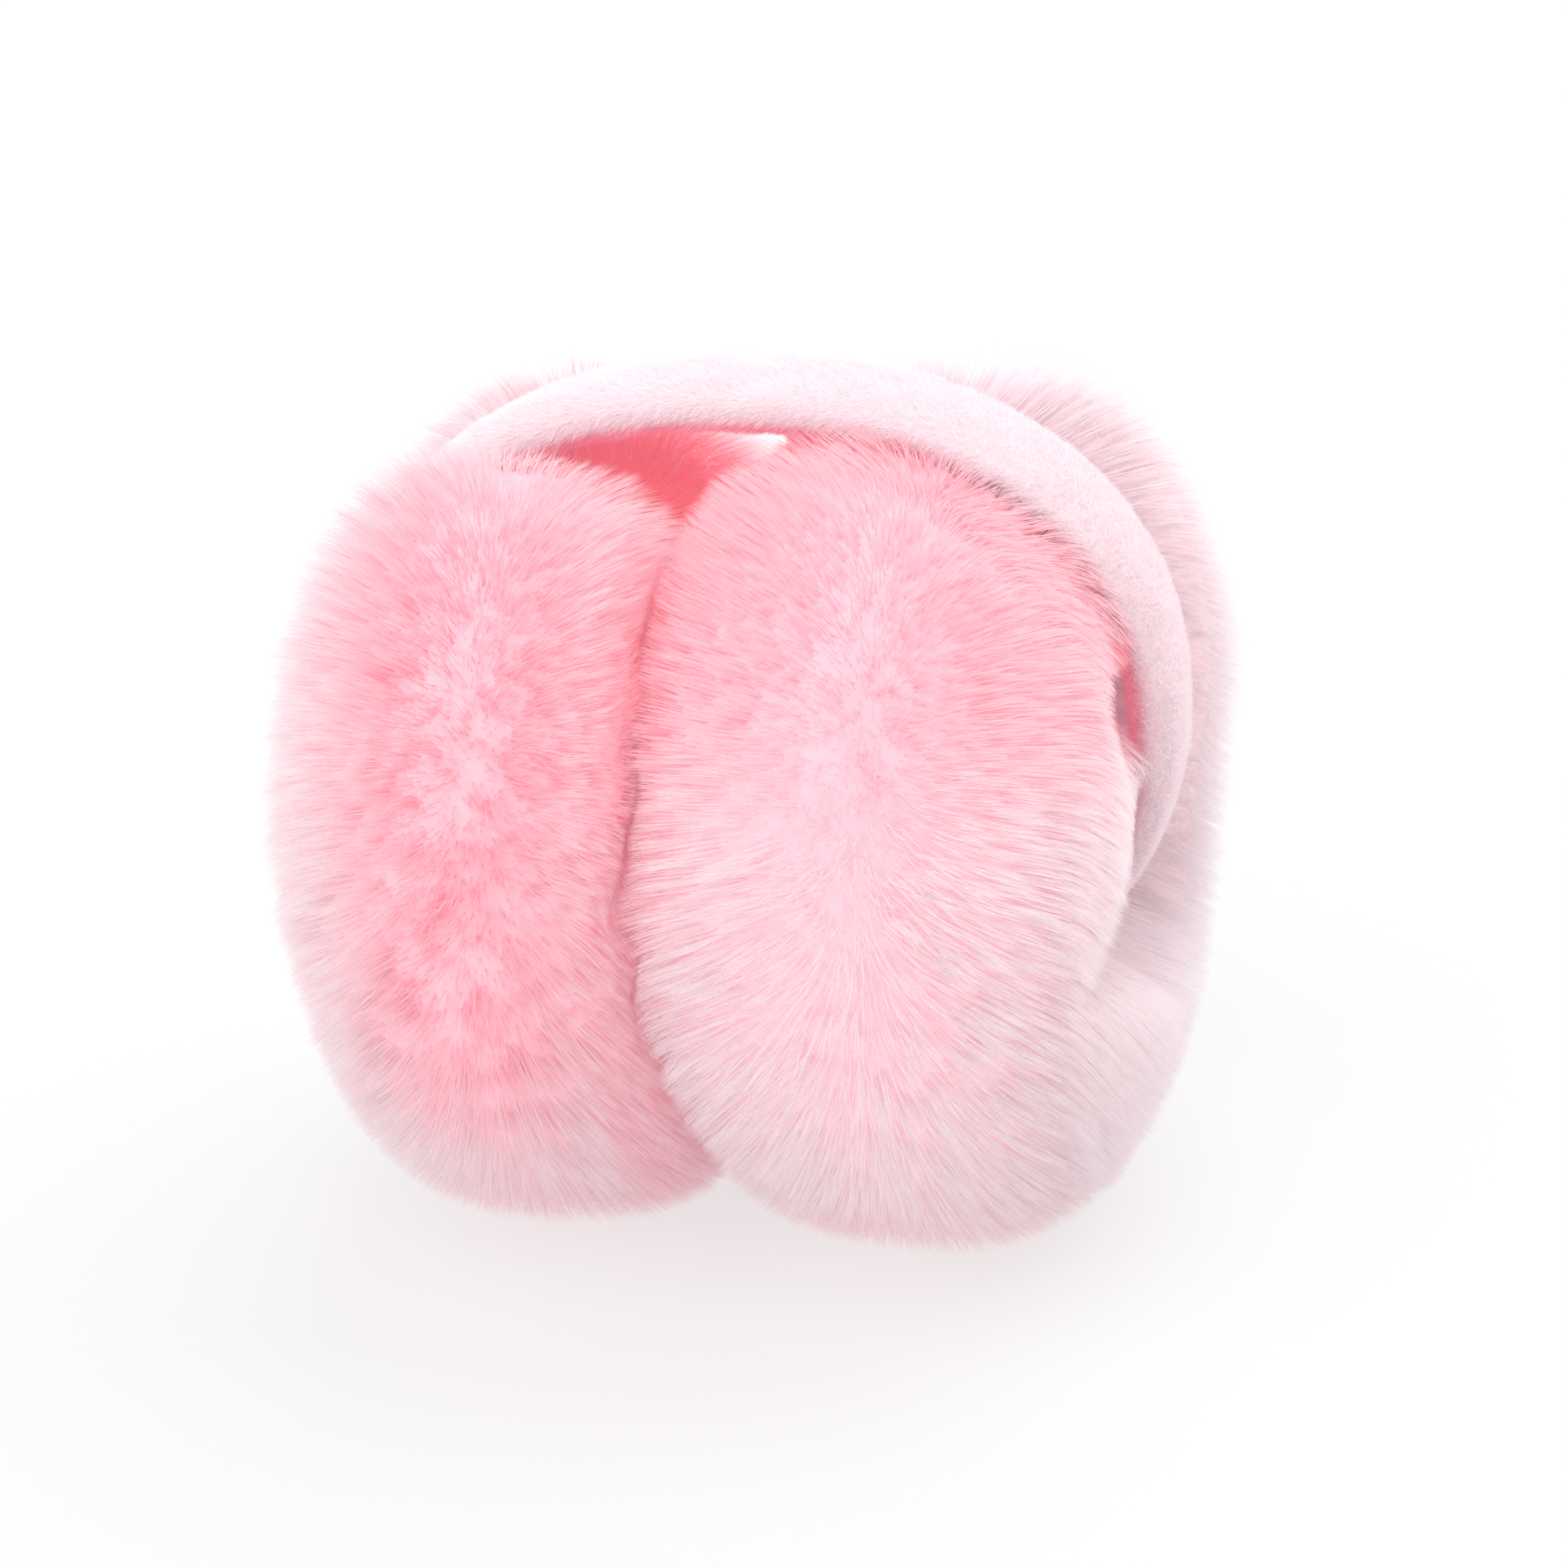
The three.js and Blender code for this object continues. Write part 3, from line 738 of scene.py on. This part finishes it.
def band_surface(at, turn, inset):
    """Points on the band, at a place from 0 to 1 along its middle line and a turn round its section."""
    line = band_line(60, 30)
    distance = np.concatenate([[0], np.cumsum(np.linalg.norm(np.diff(line, axis=0), axis=1))])
    along, outward, width, thickness = band_frame(line)
    s = at * distance[-1]
    x, z = (np.interp(s, distance, line[:, k]) for k in (0, 1))
    ox, oz = (np.interp(s, distance, outward[:, k]) for k in (0, 1))
    w = np.interp(s, distance, width) - inset
    t = np.interp(s, distance, thickness) - inset
    across = w * bulge(np.cos(turn), BAND_SECTION_ROUNDNESS)
    out = t * bulge(np.sin(turn), BAND_SECTION_ROUNDNESS)
    return np.stack([x + ox * out, across, z + oz * out], -1)


def band_rings():
    at = np.linspace(0, 1, 181)
    turn = np.linspace(0, 2 * math.pi, 33)[:-1]
    at, turn = np.meshgrid(at, turn, indexing="ij")
    return band_surface(at.ravel(), turn.ravel(), PILE_HEIGHT).reshape(*at.shape, 3)


def band_hairs(count, seed):
    rng = np.random.default_rng(seed)
    at = (np.arange(count) + rng.random(count)) / count
    table = np.linspace(0, 2 * math.pi, 361)
    section = band_surface(np.full(361, 0.5), table, 0)[:, 1:]
    girth = np.concatenate([[0], np.cumsum(np.linalg.norm(np.diff(section, axis=0), axis=1))])
    turn = np.interp(((np.arange(count) * 0.6180339887) % 1) * girth[-1], girth, table)
    root = band_surface(at, turn, PILE_HEIGHT + 0.1)
    near = band_surface(at, turn + 0.02, PILE_HEIGHT + 0.1) - root
    ahead = band_surface(np.minimum(at + 0.004, 1), turn, PILE_HEIGHT + 0.1)
    behind = band_surface(np.maximum(at - 0.004, 0), turn, PILE_HEIGHT + 0.1)
    along = unit(ahead - behind)
    outward = unit(np.cross(along, unit(near)))
    outward *= np.sign(((root - band_surface(at, turn, 3.0)) * outward).sum(1))[:, None]
    sway = Waves(31, 9.0).value(root)
    lean = unit(-along * 0.9 + np.array([0, -0.55, -0.45]) + 0.25 * sway[:, None] * np.array([0, 1, 0])
                + rng.normal(0, 0.35, (count, 3)))
    lean = unit(lean - outward * (lean * outward).sum(1)[:, None])
    height = (PILE_HEIGHT + 0.1) * rng.uniform(0.75, 1.25, count) + 0.12 * Waves(32, 6.0).value(root)
    flat = np.sqrt(np.maximum(PILE_LENGTH**2 - height**2, 0.1)) * rng.uniform(0.6, 1.0, count)
    tip = root + outward * height[:, None] + lean * flat[:, None]
    width = PILE_WIDTH * rng.uniform(0.7, 1.3, count)
    tint = 0.3 + 0.15 * rng.normal(size=count)
    # Painted shade on the band's underside: the pile there takes the deep colour and a painted glow
    under = smoothstep(-np.sin(turn), 0.0, 0.6)
    shades = np.stack([tint.clip(0, 1), under], -1)
    return np.stack([root, tip], 1), width, shades, outward


band_base = grid_piece("band_backing", band_rings(), band_backing, True)
dress(band_base, "headband")
points, width, shades, facing = band_hairs(PILE_HAIRS, 41)
dress(ribbons("band_pile", points, width, shades, facing, 42, pile), "headband")


# Floor, light and camera

def stage_floor():
    mesh = bpy.data.meshes.new("floor")
    s = FLOOR_HALF_SIZE * MM
    mesh.from_pydata([(-s, -s, 0), (s, -s, 0), (s, s, 0), (-s, s, 0)], [], [(0, 1, 2, 3)])
    material, nodes, links = new_material("floor_white")
    surface = nodes.new("ShaderNodeBsdfPrincipled")
    surface.inputs["Base Color"].default_value = (FLOOR_GREY, FLOOR_GREY, FLOOR_GREY, 1)
    surface.inputs["Roughness"].default_value = 1.0
    surface.inputs["Specular IOR Level"].default_value = 0.0
    surface.inputs["Emission Color"].default_value = (1, 1, 1, 1)
    surface.inputs["Emission Strength"].default_value = FLOOR_GLOW
    out = nodes.new("ShaderNodeOutputMaterial")
    links.new(surface.outputs["BSDF"], out.inputs["Surface"])
    mesh.materials.append(material)
    floor = bpy.data.objects.new("floor", mesh)
    bpy.context.scene.collection.objects.link(floor)


def soft_sun(name, azimuth, elevation, spread_angle, strength):
    """A wide soft light from a direction. Azimuth 0 is the front and 90 the right."""
    lamp = bpy.data.lights.new(name, "SUN")
    lamp.angle = math.radians(spread_angle)
    lamp.energy = strength
    light = bpy.data.objects.new(name, lamp)
    a, e = math.radians(azimuth), math.radians(elevation)
    towards = Vector((math.sin(a) * math.cos(e), -math.cos(a) * math.cos(e), math.sin(e)))
    light.rotation_euler = towards.to_track_quat("Z", "Y").to_euler()
    bpy.context.scene.collection.objects.link(light)


stage_floor()
soft_sun("key", *KEY_SUN)
soft_sun("back", *BACK_SUN)
world = bpy.data.worlds.new("studio")
world.use_nodes = True
world.node_tree.nodes["Background"].inputs["Color"].default_value = (1, 1, 1, 1)
world.node_tree.nodes["Background"].inputs["Strength"].default_value = WORLD_LIGHT
bpy.context.scene.world = world
bpy.context.scene.view_settings.view_transform = "Standard"

azimuth, elevation, roll = (math.radians(a) for a in (CAMERA_AZIMUTH, CAMERA_ELEVATION, CAMERA_ROLL))
back = Vector((math.sin(azimuth) * math.cos(elevation), -math.cos(azimuth) * math.cos(elevation),
               math.sin(elevation)))
right = Vector((math.cos(azimuth), math.sin(azimuth), 0))
up = back.cross(right)
right, up = (right * math.cos(roll) + up * math.sin(roll), up * math.cos(roll) - right * math.sin(roll))
eye = (Vector(CAMERA_TARGET) + back * CAMERA_DISTANCE) * MM
camera_data = bpy.data.cameras.new("camera")
camera_data.lens = CAMERA_LENS
camera_data.sensor_width = 36
camera_data.clip_start, camera_data.clip_end = 0.02, 50
camera = bpy.data.objects.new("camera", camera_data)
turned = Matrix((right, up, back)).transposed().to_4x4()
camera.matrix_world = Matrix.Translation(eye) @ turned
bpy.context.scene.collection.objects.link(camera)
bpy.context.scene.camera = camera
